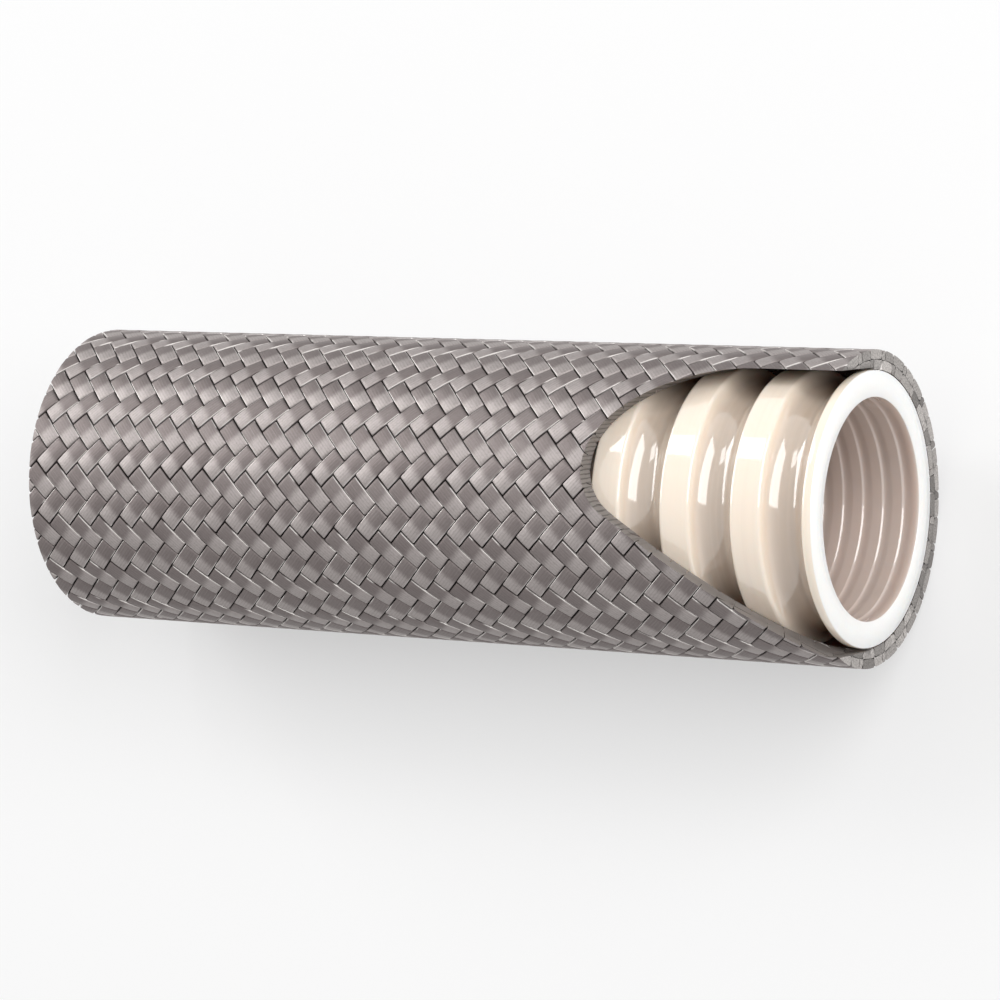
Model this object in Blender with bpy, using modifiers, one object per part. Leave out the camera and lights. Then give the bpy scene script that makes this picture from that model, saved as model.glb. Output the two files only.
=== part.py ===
# Braided PTFE hose: a cut length with a window through the braid.
# Units are metres. The hose lies along X on the plane z = 0. Its window is uppermost, turned a little
# towards -Y, because the uncut side of the braid is the heavier one.

import math

import bmesh
import bpy

# Hose as a whole
HOSE_LENGTH = 0.10485
BORE_RADIUS = 0.0127

# Liner: flat crests with grooves between them outside, fine rings inside
LINER_WALL = 0.00305
LINER_SIDES = 36
CREST_LENGTH = 0.0038
GROOVE_LENGTH = 0.00504
GROOVE_DEPTH = 0.0021
FLANK_LENGTH = 0.0007
END_COLLAR = 0.00128
RING_PITCH = 0.00254
RING_DEPTH = 0.00015
FIRST_RING = 0.0022

# Braid: bands woven two over, two under, at 45 degrees
BRAID_CLEARANCE = 0.0003
BRAID_WALL = 0.00202
BAND_COUNT = 36
CROSSING_SPACING = 0.003072
WEAVE_RELIEF = 0.00047
WEAVE_TURN = math.radians(3.8)
WEAVE_OFFSET = 0.00108

# Window: a level top edge, a round nose and a sloping lower edge, as seen square to the window.
# WINDOW_FACING is the angle from -Y up to the way that it faces.
WINDOW_FACING = math.radians(73.7)
WINDOW_LENGTH = 0.028
NOSE_HEIGHT = 0.0052
NOSE_RADIUS = 0.0067
NOSE_RUN = 0.0172
LOWER_EDGE_ANGLE = math.radians(33.7)
WINDOW_MARGIN = 0.00025
ARC_STEPS = 12

# Overshoot of the cutting shapes past what they cut
CUT_OVERSHOOT = 0.004

LINER_RADIUS = BORE_RADIUS + LINER_WALL
BRAID_BORE_RADIUS = LINER_RADIUS + BRAID_CLEARANCE
BRAID_RADIUS = BRAID_BORE_RADIUS + BRAID_WALL
WINDOW_HALF_HEIGHT = LINER_RADIUS + WINDOW_MARGIN
WINDOW_END = HOSE_LENGTH / 2
PLAIN_END = -HOSE_LENGTH / 2

# The hose rests on two neighbouring rows of the weave, 180 degrees / BAND_COUNT apart
AXIS_HEIGHT = BRAID_RADIUS * math.cos(math.pi / (2 * BAND_COUNT))

MERGE_DISTANCE = 0.000001


def clear_scene():
    for thing in list(bpy.data.objects):
        bpy.data.objects.remove(thing, do_unlink=True)


def make_collection(name):
    collection = bpy.data.collections.new(name)
    bpy.context.scene.collection.children.link(collection)
    return collection


def make_material(name, colour, metallic, roughness):
    material = bpy.data.materials.new(name)
    material.use_nodes = True
    shader = material.node_tree.nodes["Principled BSDF"]
    shader.inputs["Base Color"].default_value = (*colour, 1.0)
    shader.inputs["Metallic"].default_value = metallic
    shader.inputs["Roughness"].default_value = roughness
    material.diffuse_color = (*colour, 1.0)
    return material


def mark_as_cutter(cutter):
    cutter.hide_render = True
    cutter.display_type = "WIRE"


def add_object(name, mesh, collection):
    thing = bpy.data.objects.new(name, mesh)
    collection.objects.link(thing)
    return thing


def outer_profile():
    """Points (radius, x) along the outside of the liner, from the window end to the plain end."""
    floor_radius = LINER_RADIUS - GROOVE_DEPTH
    points = [(LINER_RADIUS, WINDOW_END)]
    groove_start = WINDOW_END - END_COLLAR
    while groove_start - GROOVE_LENGTH >= PLAIN_END + END_COLLAR - MERGE_DISTANCE:
        groove_end = groove_start - GROOVE_LENGTH
        points.append((LINER_RADIUS, groove_start))
        points.append((floor_radius, groove_start - FLANK_LENGTH))
        points.append((floor_radius, groove_end + FLANK_LENGTH))
        points.append((LINER_RADIUS, groove_end))
        groove_start = groove_end - CREST_LENGTH
    points.append((LINER_RADIUS, PLAIN_END))
    return points


def bore_profile():
    """Points (radius, x) along the bore, from the plain end to the window end."""
    points = [(BORE_RADIUS, WINDOW_END)]
    ring = WINDOW_END - FIRST_RING
    while ring > PLAIN_END + RING_PITCH / 2:
        points.append((BORE_RADIUS + RING_DEPTH, ring + RING_PITCH / 2))
        points.append((BORE_RADIUS, ring))
        ring -= RING_PITCH
    points.append((BORE_RADIUS, PLAIN_END))
    points.reverse()
    return points


def turn_profile(name, points, sides, collection):
    """Turn a closed profile round the hose's axis and lay it along X."""
    count = len(points)
    vertices = [(radius, 0, x) for radius, x in points]
    edges = [(index, (index + 1) % count) for index in range(count)]
    mesh = bpy.data.meshes.new(name)
    mesh.from_pydata(vertices, edges, [])
    turned = add_object(name, mesh, collection)
    turned.rotation_euler = (0, math.pi / 2, 0)
    turned.location = (0, 0, AXIS_HEIGHT)
    screw = turned.modifiers.new("Turn", "SCREW")
    screw.axis = "Z"
    screw.angle = 2 * math.pi
    screw.steps = sides
    screw.render_steps = sides
    screw.use_merge_vertices = True
    screw.merge_threshold = MERGE_DISTANCE
    screw.use_smooth_shade = True
    return turned


def make_liner(collection):
    liner = turn_profile("ptfe_liner", outer_profile() + bore_profile(), LINER_SIDES, collection)
    liner.data.materials.append(make_material("cream_ptfe", (0.86, 0.80, 0.74), 0.0, 0.25))
    return liner


def split_weave_quads(mesh, layer_column, layer_row):
    """Split each quad so that the two crossings of one visible band stay joined by a ridge."""
    for face in list(mesh.faces):
        corners = {(v[layer_column], v[layer_row]): v for v in face.verts}
        column = min(key[0] for key in corners)
        row = min(key[1] for key in corners)
        rising = (corners[column, row], corners[column + 1, row + 1])
        falling = (corners[column, row + 1], corners[column + 1, row])
        if (column + row) % 2:
            ridge, groove = rising, falling
            same_band = row % 4 == 1
        else:
            ridge, groove = falling, rising
            same_band = row % 4 == 3
        ends = ridge if same_band else groove
        bmesh.utils.face_split(face, *ends)


def weave_mesh():
    """A solid bar whose skin is the woven surface: crossings stand up, gaps between bands lie low."""
    rows = 2 * BAND_COUNT
    column_length = CROSSING_SPACING / 2
    first_column = -2 * math.ceil((HOSE_LENGTH + WEAVE_OFFSET) / CROSSING_SPACING)
    columns = 2 - first_column
    mesh = bmesh.new()
    layer_column = mesh.verts.layers.int.new("column")
    layer_row = mesh.verts.layers.int.new("row")
    bmesh.ops.create_grid(mesh, x_segments=columns, y_segments=rows, size=0.5)
    for vertex in mesh.verts:
        column = first_column + round((vertex.co.x + 0.5) * columns)
        row = round((vertex.co.y + 0.5) * rows)
        vertex[layer_column] = column
        vertex[layer_row] = row
    split_weave_quads(mesh, layer_column, layer_row)
    for vertex in mesh.verts:
        column, row = vertex[layer_column], vertex[layer_row]
        angle = WINDOW_FACING + WEAVE_TURN + 2 * math.pi * row / rows
        radius = BRAID_RADIUS if (column + row) % 2 else BRAID_RADIUS - WEAVE_RELIEF
        x = WINDOW_END - WEAVE_OFFSET + column * column_length
        vertex.co = (x, -radius * math.cos(angle), radius * math.sin(angle))
    bmesh.ops.remove_doubles(mesh, verts=mesh.verts, dist=MERGE_DISTANCE)
    return mesh


def trim_and_cap(mesh):
    """Cut the woven bar square at both ends and close it."""
    for x, direction in ((WINDOW_END, 1), (PLAIN_END, -1)):
        geometry = list(mesh.verts) + list(mesh.edges) + list(mesh.faces)
        bmesh.ops.bisect_plane(mesh, geom=geometry, dist=MERGE_DISTANCE, plane_co=(x, 0, 0),
                               plane_no=(direction, 0, 0), clear_outer=True)
    rims = [edge for edge in mesh.edges if edge.is_boundary]
    bmesh.ops.holes_fill(mesh, edges=rims, sides=0)
    bmesh.ops.recalc_face_normals(mesh, faces=mesh.faces)


def window_outline():
    """The window's outline (x, height over the hose's axis), as seen with the window facing -Y."""
    nose = WINDOW_END - WINDOW_LENGTH
    past_end = WINDOW_END + CUT_OVERSHOOT
    points = [(past_end, WINDOW_HALF_HEIGHT)]
    for step in range(ARC_STEPS + 1):
        angle = math.pi / 2 * (1 + step / ARC_STEPS)
        x = nose + NOSE_RUN * (1 + math.cos(angle))
        points.append((x, NOSE_HEIGHT + (WINDOW_HALF_HEIGHT - NOSE_HEIGHT) * math.sin(angle)))
    arc_turn = math.pi / 2 - LOWER_EDGE_ANGLE
    for step in range(1, ARC_STEPS + 1):
        angle = math.pi + arc_turn * step / ARC_STEPS
        x = nose + NOSE_RADIUS * (1 + math.cos(angle))
        points.append((x, NOSE_HEIGHT + NOSE_RADIUS * math.sin(angle)))
    arc_x, arc_height = points[-1]
    slope_run = (arc_height + WINDOW_HALF_HEIGHT) / math.tan(LOWER_EDGE_ANGLE)
    points.append((arc_x + slope_run, -WINDOW_HALF_HEIGHT))
    points.append((past_end, -WINDOW_HALF_HEIGHT))
    return points


def make_window_cutter(collection):
    """The window's outline pushed straight into the hose, as far as its axis."""
    depth = BRAID_RADIUS + CUT_OVERSHOOT
    curve = bpy.data.curves.new("window_outline", "CURVE")
    curve.dimensions = "2D"
    curve.fill_mode = "BOTH"
    curve.extrude = depth / 2
    outline = window_outline()
    spline = curve.splines.new("POLY")
    spline.points.add(len(outline) - 1)
    for point, (x, height) in zip(spline.points, outline):
        point.co = (x, height, 0, 1)
    spline.use_cyclic_u = True
    guide = add_object("window_outline", curve, collection)
    bpy.context.view_layer.update()
    evaluated = guide.evaluated_get(bpy.context.evaluated_depsgraph_get())
    mesh = bpy.data.meshes.new_from_object(evaluated)
    bpy.data.objects.remove(guide)
    weld = bmesh.new()
    weld.from_mesh(mesh)
    bmesh.ops.remove_doubles(weld, verts=weld.verts, dist=MERGE_DISTANCE)
    bmesh.ops.recalc_face_normals(weld, faces=weld.faces)
    weld.to_mesh(mesh)
    weld.free()
    cutter = add_object("window_cutter", mesh, collection)
    cutter.rotation_euler = (math.pi / 2 - WINDOW_FACING, 0, 0)
    outward = (-math.cos(WINDOW_FACING), math.sin(WINDOW_FACING))
    cutter.location = (0, outward[0] * depth / 2, AXIS_HEIGHT + outward[1] * depth / 2)
    mark_as_cutter(cutter)
    return cutter


def make_bore_cutter(collection):
    """The room that the braid leaves for the liner."""
    mesh = bpy.data.meshes.new("bore_cutter")
    shape = bmesh.new()
    bmesh.ops.create_cone(shape, cap_ends=True, segments=2 * BAND_COUNT, radius1=BRAID_BORE_RADIUS,
                          radius2=BRAID_BORE_RADIUS, depth=HOSE_LENGTH + 2 * CUT_OVERSHOOT)
    shape.to_mesh(mesh)
    shape.free()
    cutter = add_object("bore_cutter", mesh, collection)
    cutter.rotation_euler = (0, math.pi / 2, 0)
    cutter.location = (0, 0, AXIS_HEIGHT)
    mark_as_cutter(cutter)
    return cutter


def cut(body, cutter):
    boolean = body.modifiers.new(cutter.name, "BOOLEAN")
    boolean.operation = "DIFFERENCE"
    boolean.solver = "EXACT"
    boolean.object = cutter


def make_braid(collection, cutters):
    shape = weave_mesh()
    trim_and_cap(shape)
    mesh = bpy.data.meshes.new("wire_braid")
    shape.to_mesh(mesh)
    shape.free()
    braid = add_object("wire_braid", mesh, collection)
    braid.location = (0, 0, AXIS_HEIGHT)
    cut(braid, make_bore_cutter(cutters))
    cut(braid, make_window_cutter(cutters))
    braid.data.materials.append(make_material("steel_wire", (0.42, 0.39, 0.37), 0.85, 0.38))
    return braid


def main():
    clear_scene()
    hose = make_collection("braided_ptfe_hose")
    cutters = make_collection("cutters")
    make_liner(hose)
    make_braid(hose, cutters)


main()
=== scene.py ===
import math
import random

import bpy
from mathutils import Euler, Matrix, Vector


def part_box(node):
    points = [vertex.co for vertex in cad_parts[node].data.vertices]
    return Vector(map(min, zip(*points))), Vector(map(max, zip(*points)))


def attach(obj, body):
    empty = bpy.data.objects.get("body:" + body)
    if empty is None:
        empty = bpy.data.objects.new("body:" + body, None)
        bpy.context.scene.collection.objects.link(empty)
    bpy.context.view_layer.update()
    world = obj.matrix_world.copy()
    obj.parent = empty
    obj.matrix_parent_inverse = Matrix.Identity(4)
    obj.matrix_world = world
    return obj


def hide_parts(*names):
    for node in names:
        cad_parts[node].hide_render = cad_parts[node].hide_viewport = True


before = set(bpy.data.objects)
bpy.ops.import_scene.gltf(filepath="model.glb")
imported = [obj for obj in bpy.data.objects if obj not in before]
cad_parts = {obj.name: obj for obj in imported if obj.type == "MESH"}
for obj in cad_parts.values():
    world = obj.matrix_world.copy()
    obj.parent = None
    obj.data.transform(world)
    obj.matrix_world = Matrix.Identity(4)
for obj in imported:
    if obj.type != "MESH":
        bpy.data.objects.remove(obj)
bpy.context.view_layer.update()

mm = 0.001
weaveRepeat = 4   # crossings along a band: two over, two under

linerLow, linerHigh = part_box("ptfe_liner")
braidLow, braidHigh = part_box("wire_braid")

hose = {
    "windowEnd": braidHigh[0],
    "plainEnd": braidLow[0],
    "braidRadius": (braidHigh[2] - braidLow[2]) / 2,
    "linerRadius": (linerHigh[2] - linerLow[2]) / 2,
    "boreRadius": 12.7 * mm,
    "axisHeight": (linerHigh[2] + linerLow[2]) / 2,
    "facing": math.radians(73.7),   # from -Y up to the way that the window faces
}
print("frame loaded, hose length", round(hose["windowEnd"] - hose["plainEnd"], 5))


# Small helpers for working by operator

def pickOnly(thing):
    bpy.ops.object.select_all(action="DESELECT")
    thing.select_set(True)
    bpy.context.view_layer.objects.active = thing


def editWhole(thing):
    pickOnly(thing)
    bpy.ops.object.mode_set(mode="EDIT")
    bpy.ops.mesh.select_all(action="SELECT")


def faceOutwards():
    bpy.ops.mesh.select_all(action="SELECT")
    bpy.ops.mesh.normals_make_consistent(inside=False)


def leaveEdit():
    bpy.ops.object.mode_set(mode="OBJECT")


def applyModifiers(thing):
    pickOnly(thing)
    for modifier in list(thing.modifiers):
        bpy.ops.object.modifier_apply(modifier=modifier.name)


def smooth(thing, angle):
    pickOnly(thing)
    bpy.ops.object.shade_smooth_by_angle(angle=math.radians(angle))


def joinAll(things, name):
    bpy.ops.object.select_all(action="DESELECT")
    for thing in things:
        thing.select_set(True)
    bpy.context.view_layer.objects.active = things[0]
    bpy.ops.object.join()
    things[0].name = name
    things[0].data.name = name
    return things[0]


# A place by its x, its distance out the way that the window faces, and its distance up, square to that
def lay(x, out, up):
    sine, cosine = math.sin(hose["facing"]), math.cos(hose["facing"])
    return Vector((x, up * sine - out * cosine, hose["axisHeight"] + out * sine + up * cosine))


def aroundAxis(x, angle, radius):
    return lay(x, radius * math.cos(angle), radius * math.sin(angle))


# Shader maths

class Field:
    def __init__(self, tree, socket):
        self.tree = tree
        self.socket = socket

    def maths(self, operation, first, second=0.0):
        return addNode(self.tree, "ShaderNodeMath", {"operation": operation}, i0=first, i1=second)

    def __add__(self, other):
        return self.maths("ADD", self, other)

    def __radd__(self, other):
        return self.maths("ADD", other, self)

    def __sub__(self, other):
        return self.maths("SUBTRACT", self, other)

    def __rsub__(self, other):
        return self.maths("SUBTRACT", other, self)

    def __mul__(self, other):
        return self.maths("MULTIPLY", self, other)

    def __rmul__(self, other):
        return self.maths("MULTIPLY", other, self)

    def absolute(self):
        return self.maths("ABSOLUTE", self)

    def sine(self):
        return self.maths("SINE", self)

    # 0 below low, 1 above high
    def ramp(self, low, high, kind="SMOOTHSTEP"):
        return addNode(self.tree, "ShaderNodeMapRange", {"interpolation_type": kind}, Value=self,
                       From_Min=low, From_Max=high, To_Min=0.0, To_Max=1.0)

    # A colour: first where this field is 0, second where it is 1
    def blend(self, first, second):
        return addNode(self.tree, "ShaderNodeMix", {"data_type": "RGBA"}, 2, i0=self, i6=first, i7=second)


# Sockets are named with _ for a space, or numbered as i0, i1 and so on
def addNode(tree, kind, settings=None, out=0, **inputs):
    node = tree.nodes.new(kind)
    for key, value in (settings or {}).items():
        setattr(node, key, value)
    for key, value in inputs.items():
        numbered = key[0] == "i" and key[1:].isdigit()
        slot = node.inputs[int(key[1:]) if numbered else key.replace("_", " ")]
        if isinstance(value, Field):
            tree.links.new(value.socket, slot)
        elif isinstance(value, tuple) and slot.type == "RGBA":
            slot.default_value = (*value, 1.0)
        else:
            slot.default_value = value
    return Field(tree, node.outputs[out])


def newMaterial(name, **constants):
    material = bpy.data.materials.new(name)
    material.use_nodes = True
    shader = material.node_tree.nodes["Principled BSDF"]
    for key, value in constants.items():
        shader.inputs[key.replace("_", " ")].default_value = value
    return material, material.node_tree, shader


def feed(tree, shader, name, field):
    tree.links.new(field.socket, shader.inputs[name])


def feedBump(tree, shader, height, strength, distance):
    bump = addNode(tree, "ShaderNodeBump", Strength=strength, Distance=distance, Height=height)
    feed(tree, shader, "Normal", bump)


def objectPlace(tree):
    return addNode(tree, "ShaderNodeTexCoord", out=3)


def distanceFromAxis(tree, place):
    fromAxis = addNode(tree, "ShaderNodeVectorMath", {"operation": "MULTIPLY_ADD"}, i0=place,
                       i1=(0.0, 1.0, 1.0), i2=(0.0, 0.0, -hose["axisHeight"]))
    return addNode(tree, "ShaderNodeVectorMath", {"operation": "LENGTH"}, 1, i0=fromAxis)


def noise(tree, place, scale, detail):
    return addNode(tree, "ShaderNodeTexNoise", Vector=place, Scale=scale, Detail=detail)


def stretch(tree, place, amounts):
    return addNode(tree, "ShaderNodeVectorMath", {"operation": "MULTIPLY"}, i0=place, i1=amounts)


# A number that each band carries, from 0 to 1
def bandTone(tree):
    return addNode(tree, "ShaderNodeAttribute", {"attribute_name": "bandTone"}, 2)


# Materials

ptfe = {
    "crest": (0.935, 0.805, 0.68),
    # painted shade: the grooves are coloured darker than the crests
    "groove": (0.54, 0.45, 0.37),
    "grooveFade": (2.0 * mm, 0.2 * mm),     # depths below the crests, between which the painted shade comes in
    # painted shade: the bore inside the tube is coloured darker and greyer than the crests
    "bore": (0.625, 0.52, 0.465),
    "boreFade": (0.4 * mm, 0.5 * mm),       # beyond the bore's wall
    "cutEnd": (0.94, 0.92, 0.89),
    "endFade": (0.15 * mm, 0.05 * mm),      # short of the end
    "cloud": (0.76, 0.64, 0.54),
    "cloudScale": 90.0,
    "cloudRange": (0.3, 0.8),
    "cloudShare": 0.10,
    "drawnStretch": (1800.0, 30.0, 30.0),   # fine lines round the tube
    "drawnRange": (0.4, 0.75),
    "drawnShare": 0.12,
    "grainScale": 1400.0,
    "bumpStrength": 0.03,
    "bumpDistance": 0.2 * mm,
    "scatter": (3.0 * mm, 2.3 * mm, 1.8 * mm),
}


def makePtfeMaterial():
    material, tree, shader = newMaterial("creamPtfe", Roughness=0.1, IOR=1.55, Coat_Weight=1.0,
                                         Coat_Roughness=0.03, Coat_IOR=1.65, Subsurface_Weight=0.35,
                                         Subsurface_Radius=ptfe["scatter"], Subsurface_Scale=1.0)
    place = objectPlace(tree)
    radius = distanceFromAxis(tree, place)
    # Painted shade in the grooves: a darker colour the deeper below the crests
    low, high = (hose["linerRadius"] - depth for depth in ptfe["grooveFade"])
    colour = radius.ramp(low, high).blend(ptfe["groove"], ptfe["crest"])
    cloud = noise(tree, place, ptfe["cloudScale"], 3.0).ramp(*ptfe["cloudRange"])
    drawn = noise(tree, stretch(tree, place, ptfe["drawnStretch"]), 1.0, 2.0).ramp(*ptfe["drawnRange"])
    colour = (cloud * ptfe["cloudShare"] + drawn * ptfe["drawnShare"]).blend(colour, ptfe["cloud"])
    # Painted shade inside the bore: its wall takes the darker bore colour
    low, high = (hose["boreRadius"] + away for away in ptfe["boreFade"])
    colour = radius.ramp(low, high).blend(ptfe["bore"], colour)
    fromMiddle = addNode(tree, "ShaderNodeSeparateXYZ", Vector=place).absolute()
    low, high = (hose["windowEnd"] - away for away in ptfe["endFade"])
    colour = fromMiddle.ramp(low, high).blend(colour, ptfe["cutEnd"])
    feed(tree, shader, "Base Color", colour)
    grain = noise(tree, place, ptfe["grainScale"], 2.0)
    feedBump(tree, shader, grain, ptfe["bumpStrength"], ptfe["bumpDistance"])
    return material


wire = {
    "shaded": (0.167, 0.142, 0.138),     # painted shade over the upper part of each float
    "paintedSheen": (0.33, 0.298, 0.289),    # painted sheen on its lower end
    "sheenFade": (0.7, 1.15),           # where the painted sheen gives way to the painted shade, in crossings from the low end
    "raggedness": 0.5,
    "streak": (0.46, 0.43, 0.415),
    "streakStretch": (0.5, 30.0, 1.0),
    "streakRange": (0.45, 0.8),
    "streakShare": 0.22,
    "toneShare": 0.08,                   # of the same paler colour, from band to band
    "between": (0.085, 0.072, 0.069),    # painted shade down between the wires of a band, which the grain darkens towards too
    "betweenRange": (0.0, 0.4),          # of a wire's height
    "betweenBreaks": (0.25, 0.6),        # of the streaks, where those lines fade
    "betweenShare": 0.2,
    "wiresPerBand": 6,
    "wireRelief": 0.6,
    "streakRelief": 0.5,
    "grainScale": 3500.0,
    "grainRange": (0.45, 0.75),
    "grainShare": 0.16,
    "edge": (0.68, 0.65, 0.63),          # painted highlight along the band's edges
    "edgeZone": (0.445, 0.485),          # from the band's middle, as a share of its width
    "highlightBreakScale": 260.0,
    "highlightBreakRange": (0.44, 0.54),
    "deep": (0.033, 0.028, 0.026),       # painted shade down between the bands
    "deepZone": (0.4 * mm, 0.05 * mm),   # depths below the braid's outside
    "underside": (1.4 * mm, 0.9 * mm),   # where the painted shade ends again
    "roughness": 0.52,
    "roughnessChange": 0.1,
    "bumpStrength": 0.35,
    "bumpDistance": 0.05 * mm,
}


def makeWireMaterial():
    material, tree, shader = newMaterial("wovenSteel", Metallic=0.85)
    place = objectPlace(tree)
    radius = distanceFromAxis(tree, place)
    band = addNode(tree, "ShaderNodeUVMap", {"uv_map": "UVMap"})
    along = addNode(tree, "ShaderNodeSeparateXYZ", Vector=band)
    across = addNode(tree, "ShaderNodeSeparateXYZ", None, 1, Vector=band)
    streak = noise(tree, stretch(tree, band, wire["streakStretch"]), 1.0, 3.0)
    fromLowEnd = along.maths("FLOORED_MODULO", along, float(weaveRepeat))
    # Painted light along each float: shade over its upper part, sheen on its lower end, with a ragged
    # border
    ragged = fromLowEnd + (streak - 0.5) * wire["raggedness"]
    colour = ragged.ramp(*wire["sheenFade"]).blend(wire["paintedSheen"], wire["shaded"])
    paler = streak.ramp(*wire["streakRange"]) * wire["streakShare"] + bandTone(tree) * wire["toneShare"]
    colour = paler.blend(colour, wire["streak"])
    ridge = (across * (wire["wiresPerBand"] * math.pi)).sine()
    ridge = ridge * ridge
    # Painted shade in the hollows between the wires, broken where the streaks fade, plus darker grain
    between = (1.0 - ridge.ramp(*wire["betweenRange"])) * streak.ramp(*wire["betweenBreaks"])
    grain = noise(tree, place, wire["grainScale"], 2.0).ramp(*wire["grainRange"])
    creaseShadeAndGrain = between * wire["betweenShare"] + grain * wire["grainShare"]
    colour = creaseShadeAndGrain.blend(colour, wire["between"])
    # Painted highlight: a bright line along each band's edges, broken up by noise
    side = (across - 0.5).absolute()
    highlightBreaks = noise(tree, place, wire["highlightBreakScale"], 1.0).ramp(*wire["highlightBreakRange"])
    colour = (side.ramp(*wire["edgeZone"]) * highlightBreaks).blend(colour, wire["edge"])
    # Painted shade in the gaps between the bands, by depth below the braid's outside; the undersides
    # further in keep their colour
    low, high = (hose["braidRadius"] - depth for depth in wire["deepZone"])
    deep = 1.0 - radius.ramp(low, high)
    low, high = (hose["braidRadius"] - depth for depth in wire["underside"])
    colour = (deep * radius.ramp(low, high)).blend(colour, wire["deep"])
    feed(tree, shader, "Base Color", colour)
    feed(tree, shader, "Roughness", wire["roughness"] + streak * wire["roughnessChange"])
    relief = ridge * wire["wireRelief"] + streak * wire["streakRelief"]
    feedBump(tree, shader, relief, wire["bumpStrength"], wire["bumpDistance"])
    return material


cutWire = {
    "dark": (0.19, 0.175, 0.165),
    "pale": (0.56, 0.525, 0.50),
    "line": (0.09, 0.082, 0.076),
    "lineShare": 0.45,
    "wireDiameter": 0.36 * mm,
    "wireEdge": (0.02, 0.16),            # in wire diameters from its rim
    "bumpStrength": 0.4,
    "bumpDistance": 0.08 * mm,
}


# The square-cut ends: each band in its own tone, with the ends of its wires
def makeEndMaterial():
    material, tree, shader = newMaterial("cutWireEnds", Metallic=0.15, Roughness=0.55)
    cells = addNode(tree, "ShaderNodeTexVoronoi", {"feature": "DISTANCE_TO_EDGE"},
                    Vector=objectPlace(tree), Scale=1 / cutWire["wireDiameter"])
    ends = cells.ramp(*cutWire["wireEdge"])
    tone = bandTone(tree).blend(cutWire["dark"], cutWire["pale"])
    share = (1 - cutWire["lineShare"]) + ends * cutWire["lineShare"]
    feed(tree, shader, "Base Color", share.blend(cutWire["line"], tone))
    feedBump(tree, shader, ends, cutWire["bumpStrength"], cutWire["bumpDistance"])
    return material


windowFace = {
    "colour": (0.25, 0.23, 0.219),
    "line": (0.09, 0.082, 0.076),
    "lineSpacing": 0.5 * mm,
    "lineRange": (0.2, 0.95),            # of a sine wave
    "lineFade": (-4.5 * mm, -1.0 * mm),  # heights from the axis, square to the window
    "lineStrength": 0.3,
    "unevenScale": 900.0,
    "unevenShift": 3.0,                  # of the lines' places, in radians
    "unevenStrength": 0.9,
    "bumpStrength": 0.3,
    "bumpDistance": 0.1 * mm,
}


# The wires cut along the window show as lines from outside to inside, clearest round its nose
def makeWindowFaceMaterial():
    material, tree, shader = newMaterial("cutWindowFace", Metallic=0.3, Roughness=0.6)
    place = objectPlace(tree)
    middle = lay(0, 0, 0)
    upward = lay(0, 0, 1) - middle
    height = addNode(tree, "ShaderNodeVectorMath", {"operation": "DOT_PRODUCT"}, 1, i0=place,
                     i1=tuple(upward)) - middle.dot(upward)
    uneven = noise(tree, place, windowFace["unevenScale"], 2.0)
    turns = height * (2 * math.pi / windowFace["lineSpacing"]) + uneven * windowFace["unevenShift"]
    strength = windowFace["lineStrength"] + uneven * windowFace["unevenStrength"]
    line = turns.sine().ramp(*windowFace["lineRange"]) * height.ramp(*windowFace["lineFade"]) * strength
    feed(tree, shader, "Base Color", line.blend(windowFace["colour"], windowFace["line"]))
    feedBump(tree, shader, 1.0 - line, windowFace["bumpStrength"], windowFace["bumpDistance"])
    return material


ptfeMaterial = makePtfeMaterial()
wireMaterial = makeWireMaterial()
endMaterial = makeEndMaterial()
windowFaceMaterial = makeWindowFaceMaterial()
print("materials made")


# Liner: the wall's section, spun round the hose's axis

liner = {
    "sides": 128,
    "crestLength": 3.8 * mm,
    "grooveLength": 5.04 * mm,
    "grooveDepth": 2.1 * mm,
    "grooveSteps": 16,
    "roundShare": 0.985,                # of a groove's half length, the rest is its lip
    "lip": ((1.2, 0.0), (1.16, 0.0), (1.11, 0.02), (1.06, 0.08), (1.022, 0.17),
            (1.0, 0.3)),                # share of half a groove, drop in mm
    "endCollar": 1.28 * mm,
    "endRounding": 0.12 * mm,
    "mouthRounding": 0.03 * mm,
    "firstRing": 2.2 * mm,
    "ringPitch": 2.54 * mm,
    "ringShape": ((1.5, 0.0), (1.3, 0.01), (1.08, 0.05), (0.8, 0.12), (0.52, 0.16), (0.3, 0.155),
                  (0.15, 0.115), (0.05, 0.045), (-0.03, 0.0), (-0.1, 0.0)),   # mm along and deep
    "mergeDistance": 0.002 * mm,
    "smoothAngle": 50,
}


def grooveSection(middle):
    half = liner["grooveLength"] / 2
    crest = hose["linerRadius"]
    points = [(middle + half * share, crest - drop * mm) for share, drop in liner["lip"]]
    for step in range(liner["grooveSteps"] + 1):
        share = liner["roundShare"] * math.cos(math.pi * step / liner["grooveSteps"])
        depth = liner["grooveDepth"] * math.sqrt(1 - share * share)
        points.append((middle + half * share, crest - depth))
    points += [(middle - half * share, crest - drop * mm) for share, drop in reversed(liner["lip"])]
    return points


def outsideSection():
    rounding = liner["endRounding"]
    crest = hose["linerRadius"]
    half = liner["grooveLength"] / 2
    points = [(hose["windowEnd"], crest - rounding), (hose["windowEnd"] - rounding, crest)]
    middle = hose["windowEnd"] - liner["endCollar"] - half
    while middle - half > hose["plainEnd"]:
        points += grooveSection(middle)
        middle -= liner["crestLength"] + liner["grooveLength"]
    points += [(hose["plainEnd"] + rounding, crest), (hose["plainEnd"], crest - rounding)]
    return points


def boreSection():
    rounding = liner["mouthRounding"]
    wall = hose["boreRadius"]
    points = [(hose["windowEnd"], wall + rounding), (hose["windowEnd"] - rounding, wall)]
    ring = hose["windowEnd"] - liner["firstRing"]
    while ring > hose["plainEnd"] + liner["ringPitch"] / 2:
        points += [(ring + along * mm, wall + deep * mm) for along, deep in liner["ringShape"]]
        ring -= liner["ringPitch"]
    points += [(hose["plainEnd"] + rounding, wall), (hose["plainEnd"], wall + rounding)]
    return points[::-1]


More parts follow.
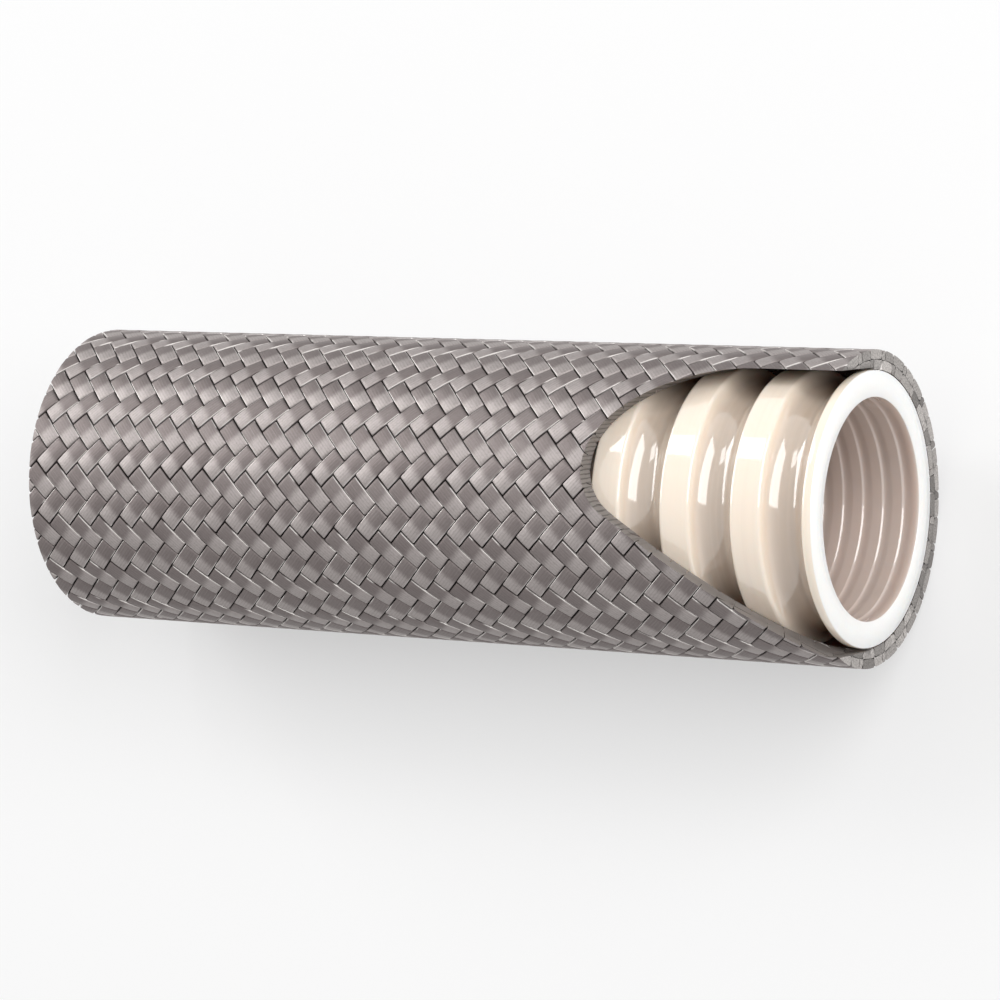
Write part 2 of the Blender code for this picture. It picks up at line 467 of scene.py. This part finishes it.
def makeLiner():
    section = outsideSection() + boreSection()
    bpy.ops.object.select_all(action="DESELECT")
    bpy.ops.mesh.primitive_circle_add(vertices=len(section), radius=1, fill_type="NOTHING")
    tube = bpy.context.object
    tube.name = tube.data.name = "hose_liner"
    for vertex, (x, radius) in zip(tube.data.vertices, section):
        vertex.co = aroundAxis(x, 0, radius)
    editWhole(tube)
    bpy.ops.mesh.spin(steps=liner["sides"], angle=2 * math.pi, axis=(1, 0, 0),
                      center=(0, 0, hose["axisHeight"]))
    bpy.ops.mesh.select_all(action="SELECT")
    bpy.ops.mesh.remove_doubles(threshold=liner["mergeDistance"])
    faceOutwards()
    leaveEdit()
    smooth(tube, liner["smoothAngle"])
    tube.data.materials.append(ptfeMaterial)
    return tube


linerPiece = makeLiner()
print("liner made,", len(linerPiece.data.polygons), "faces")


# Braid: flat bands, two over and two under, wound both ways

weave = {
    "bands": 36,                         # each way
    "spacing": 3.072 * mm,               # between crossings, along the hose
    "turn": math.radians(3.8),
    "offset": 1.08 * mm,
    "fill": 0.966,                       # band width as a share of its spacing
    "thickness": 1.15 * mm,
    "swing": 0.56 * mm,                  # of a band's middle, out and in
    "sharpness": 12.0,                   # of its dives
    "arch": 0.08,                        # share of the swing that rounds a float
    "steps": (0.0, 0.03, 0.07, 0.13, 0.25, 0.55),      # along one crossing, from a dive
    "section": ((-0.5, -0.16), (-0.484, -0.06), (-0.445, -0.012), (0.0, 0.0), (0.445, -0.012),
                (0.484, -0.06), (0.5, -0.16)),         # share of the width, height in mm
    "seed": 7,
    "slides": 50,                        # how many places a band's streaks may start at
    "pieces": 4,
    "mergeDistance": 0.001 * mm,
    "cutNormal": 0.999,                  # faces squarer to the hose than this are cut ends
    "smoothAngle": 40,
}
rowTurn = math.pi / weave["bands"]


# 1 where a band lies on top, -1 where it lies below
def bandHeight(place):
    wave = math.sin(2 * math.pi * place / weaveRepeat)
    return (1 - weave["arch"]) * math.tanh(weave["sharpness"] * wave) + weave["arch"] * wave


# Places along a band, in crossings, closer together where it dives
def alongSteps(first, last):
    places = []
    for unit in range(first, last):
        if unit % 2 == 0:
            places += [unit + step for step in weave["steps"]]
        else:
            places += [unit] + [unit + 1 - step for step in reversed(weave["steps"][1:])]
    return places + [last]


# One band on its helix. lean is 1 for bands that rise towards the window end, and -1 for the others.
# u and v count crossings along the two ways of the weave.
def makeBand(name, lean, shift):
    section = list(weave["section"])
    section += [(0.5, -weave["thickness"] / mm), (-0.5, -weave["thickness"] / mm), section[0]]
    reach = math.ceil((hose["windowEnd"] - hose["plainEnd"]) / weave["spacing"]) + 3
    places = alongSteps(-2 * reach, weaveRepeat)
    steps = len(places) - 1
    around = len(section) - 1
    middleRadius = hose["braidRadius"] - weave["thickness"] - weave["swing"]
    bpy.ops.object.select_all(action="DESELECT")
    bpy.ops.mesh.primitive_grid_add(x_subdivisions=steps, y_subdivisions=around, size=1, calc_uvs=True)
    band = bpy.context.object
    band.name = band.data.name = name
    spots = []
    for vertex in band.data.vertices:
        place = places[round((vertex.co.x + 0.5) * steps)]
        share, drop = section[round((vertex.co.y + 0.5) * around)]
        sideways = 0.5 + share * weave["fill"]
        u, v = (sideways, place + 1) if lean > 0 else (place, sideways)
        x = hose["windowEnd"] - weave["offset"] + ((u + v) / 2 + shift) * weave["spacing"]
        angle = weave["turn"] + (v - u) * rowTurn
        radius = middleRadius + weave["swing"] * bandHeight(place) + weave["thickness"] + drop * mm
        vertex.co = aroundAxis(x, angle, radius)
        spots.append((place if lean > 0 else 2 - place, share + 0.5))   # along from a low end, and across
    uv = band.data.uv_layers[0].data
    for loop in band.data.loops:
        uv[loop.index].uv = spots[loop.vertex_index]
    return band


def closeAndTrim(band):
    editWhole(band)
    bpy.ops.mesh.remove_doubles(threshold=weave["mergeDistance"])
    for x, side in ((hose["windowEnd"], 1), (hose["plainEnd"], -1)):
        bpy.ops.mesh.select_all(action="SELECT")
        bpy.ops.mesh.bisect(plane_co=(x, 0, 0), plane_no=(side, 0, 0), use_fill=True, clear_outer=True,
                            threshold=weave["mergeDistance"])
    faceOutwards()
    leaveEdit()
    band.data.materials.append(wireMaterial)
    band.data.materials.append(endMaterial)
    for face in band.data.polygons:
        if abs(face.normal.x) > weave["cutNormal"]:
            face.material_index = 1


window = {
    "length": 28.0 * mm,
    "noseHeight": 5.2 * mm,              # above the axis, square to the window
    "noseRadius": 6.7 * mm,              # of the lower side of the nose
    "noseRun": 17.2 * mm,                # along the hose, on its upper side
    "lowerSlope": math.radians(33.7),
    "margin": 0.25 * mm,
    "arcSteps": 24,
    "overshoot": 4.0 * mm,
    "slack": 1.0 * mm,                   # bands this near to the nose are cut too
}


def windowOutline():
    half = hose["linerRadius"] + window["margin"]
    nose = hose["windowEnd"] - window["length"]
    pastEnd = hose["windowEnd"] + window["overshoot"]
    points = [(pastEnd, half)]
    for step in range(window["arcSteps"] + 1):
        angle = math.pi / 2 * (1 + step / window["arcSteps"])
        points.append((nose + window["noseRun"] * (1 + math.cos(angle)),
                       window["noseHeight"] + (half - window["noseHeight"]) * math.sin(angle)))
    for step in range(1, window["arcSteps"] + 1):
        angle = math.pi + (math.pi / 2 - window["lowerSlope"]) * step / window["arcSteps"]
        points.append((nose + window["noseRadius"] * (1 + math.cos(angle)),
                       window["noseHeight"] + window["noseRadius"] * math.sin(angle)))
    arcX, arcHeight = points[-1]
    points.append((arcX + (arcHeight + half) / math.tan(window["lowerSlope"]), -half))
    points.append((pastEnd, -half))
    return points


def makeWindowCutter():
    outline = windowOutline()
    depth = hose["braidRadius"] + window["overshoot"]
    bpy.ops.object.select_all(action="DESELECT")
    bpy.ops.mesh.primitive_circle_add(vertices=len(outline), radius=1, fill_type="NGON")
    cutter = bpy.context.object
    cutter.name = "windowCutter"
    for vertex, (x, height) in zip(cutter.data.vertices, outline):
        vertex.co = lay(x, 0, height)
    editWhole(cutter)
    bpy.ops.mesh.extrude_region_move(TRANSFORM_OT_translate={"value": lay(0, depth, 0) - lay(0, 0, 0)})
    faceOutwards()
    leaveEdit()
    cutter.data.materials.append(windowFaceMaterial)
    return cutter


def reachesWindow(band):
    nose = hose["windowEnd"] - window["length"] - window["slack"]
    middle = lay(0, 0, 0)
    outward = lay(0, 1, 0) - middle
    return any(vertex.co.x > nose and (vertex.co - middle).dot(outward) > 0
               for vertex in band.data.vertices)


def copyBand(master, turn, tone, slide):
    copy = master.copy()
    copy.data = master.data.copy()
    bpy.context.scene.collection.objects.link(copy)
    axis = Vector((0, 0, hose["axisHeight"]))
    spin = Matrix.Translation(axis) @ Matrix.Rotation(turn, 4, "X") @ Matrix.Translation(-axis)
    copy.data.transform(spin)
    for item in copy.data.uv_layers[0].data:
        item.uv[0] += slide
    layer = copy.data.attributes.new("bandTone", "FLOAT", "POINT")
    for item in layer.data:
        item.value = tone
    return copy


def cutWindow(band, cutter):
    boolean = band.modifiers.new("window", "BOOLEAN")
    boolean.operation = "DIFFERENCE"
    boolean.solver = "EXACT"
    boolean.material_mode = "TRANSFER"
    boolean.object = cutter
    applyModifiers(band)


# Bands of one lean come in two sorts, one crossing apart, and each sort repeats every second lane
def makeBraid():
    chance = random.Random(weave["seed"])
    cutter = makeWindowCutter()
    lanes = []
    for lean in (1, -1):
        for shift in (0, 1):
            master = makeBand("band", lean, shift)
            closeAndTrim(master)
            for copyIndex in range(weave["bands"] // 2):
                tone, slide = chance.random(), weaveRepeat * chance.randrange(weave["slides"])
                lane = copyBand(master, copyIndex * 4 * rowTurn, tone, slide)
                if reachesWindow(lane):
                    cutWindow(lane, cutter)
                lanes.append(lane)
            bpy.data.objects.remove(master)
    bpy.data.objects.remove(cutter)
    share = len(lanes) // weave["pieces"]
    pieces = []
    for index in range(weave["pieces"]):
        piece = joinAll(lanes[index * share:(index + 1) * share], "wire_bands_%d" % (index + 1))
        smooth(piece, weave["smoothAngle"])
        pieces.append(piece)
    return pieces


braidPieces = makeBraid()
print("braid made,", sum(len(piece.data.polygons) for piece in braidPieces), "faces")

for piece in braidPieces:
    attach(piece, "root")
    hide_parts("wire_braid")
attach(linerPiece, "root")
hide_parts("ptfe_liner")


# Floor, light and camera

stage = {
    "floorSize": 1.7,
    "floorColour": (0.82, 0.82, 0.82),
    "floorGlow": 0.5,    # share of plain white in what is seen of the floor
    "ambient": 0.31,
}


# 1 for camera, glossy and transmission rays, 0 for those that light things
def seenRays(tree):
    path = tree.nodes.new("ShaderNodeLightPath")
    seen, mirrored, through = (Field(tree, path.outputs["Is %s Ray" % kind])
                               for kind in ("Camera", "Glossy", "Transmission"))
    return (seen + mirrored + through).ramp(0.0, 1.0, "LINEAR")


def makeFloor():
    bpy.ops.object.select_all(action="DESELECT")
    bpy.ops.mesh.primitive_plane_add(size=stage["floorSize"], location=(0, 0, 0))
    floor = bpy.context.object
    floor.name = "floor"
    material, tree, shader = newMaterial("paleFloor", Roughness=0.9, Specular_IOR_Level=0.0,
                                         Base_Color=(*stage["floorColour"], 1.0))
    glow = addNode(tree, "ShaderNodeEmission", Color=(1.0, 1.0, 1.0), Strength=1.0)
    lit = Field(tree, shader.outputs[0])
    mixed = addNode(tree, "ShaderNodeMixShader", i0=seenRays(tree) * stage["floorGlow"], i1=lit, i2=glow)
    tree.links.new(mixed.socket, tree.nodes["Material Output"].inputs["Surface"])
    floor.data.materials.append(material)


def makeWorld():
    world = bpy.context.scene.world or bpy.data.worlds.new("studio")
    bpy.context.scene.world = world
    world.use_nodes = True
    tree = world.node_tree
    background = tree.nodes["Background"]
    background.inputs["Color"].default_value = (1.0, 1.0, 1.0, 1.0)
    strength = stage["ambient"] + seenRays(tree) * (1.0 - stage["ambient"])
    tree.links.new(strength.socket, background.inputs["Strength"])


# As seen from the hose, in degrees: headings turn from the way that the window faces towards +X,
# and heights are square to it
softboxes = (
    {"name": "leftSoftbox", "headings": (-84, -50), "heights": (2, 46), "radiance": 4.4},
    {"name": "rightSoftbox", "headings": (24, 70), "heights": (2, 51), "radiance": 4.1},
    {"name": "frontSoftbox", "headings": (-46, -20), "heights": (38, 53), "radiance": 3.6},
)


def turnUp():
    return Matrix.Rotation(-hose["facing"], 4, "X")


# An area light one metre away that fills its headings and heights
def makeSoftbox(box):
    heading = math.radians(sum(box["headings"]) / 2)
    width = 2 * math.tan(math.radians(box["headings"][1] - box["headings"][0]) / 2)
    low, high = (math.tan(math.radians(angle)) for angle in box["heights"])
    light = bpy.data.lights.new(box["name"], "AREA")
    light.shape = "RECTANGLE"
    light.size = width
    light.size_y = high - low
    light.energy = box["radiance"] * math.pi * width * (high - low)
    lamp = bpy.data.objects.new(box["name"], light)
    bpy.context.scene.collection.objects.link(lamp)
    place = lay(math.sin(heading), math.cos(heading), (low + high) / 2)
    turn = Euler((math.pi / 2, 0, heading)).to_matrix().to_4x4()
    lamp.matrix_world = Matrix.Translation(place) @ turnUp() @ turn
    lamp.visible_camera = False


camera = {
    "place": (10.6914, 22.7032, 2.1499),   # from the window end of the axis, in braid radii
    "yaw": 0.5329,
    "pitch": -0.0835,
    "lens": 144.63,
    "sensor": 36,
    "clipStart": 0.01,
}


def makeCamera():
    view = bpy.data.cameras.new("photoCamera")
    view.lens = camera["lens"]
    view.sensor_width = camera["sensor"]
    view.clip_start = camera["clipStart"]
    holder = bpy.data.objects.new("photoCamera", view)
    bpy.context.scene.collection.objects.link(holder)
    x, out, up = (hose["braidRadius"] * share for share in camera["place"])
    turn = Euler((math.pi / 2 + camera["pitch"], 0, camera["yaw"])).to_matrix().to_4x4()
    holder.matrix_world = Matrix.Translation(lay(hose["windowEnd"] + x, out, up)) @ turnUp() @ turn
    bpy.context.scene.camera = holder


makeFloor()
makeWorld()
for box in softboxes:
    makeSoftbox(box)
makeCamera()
bpy.context.scene.view_settings.view_transform = "Standard"
print("stage set")
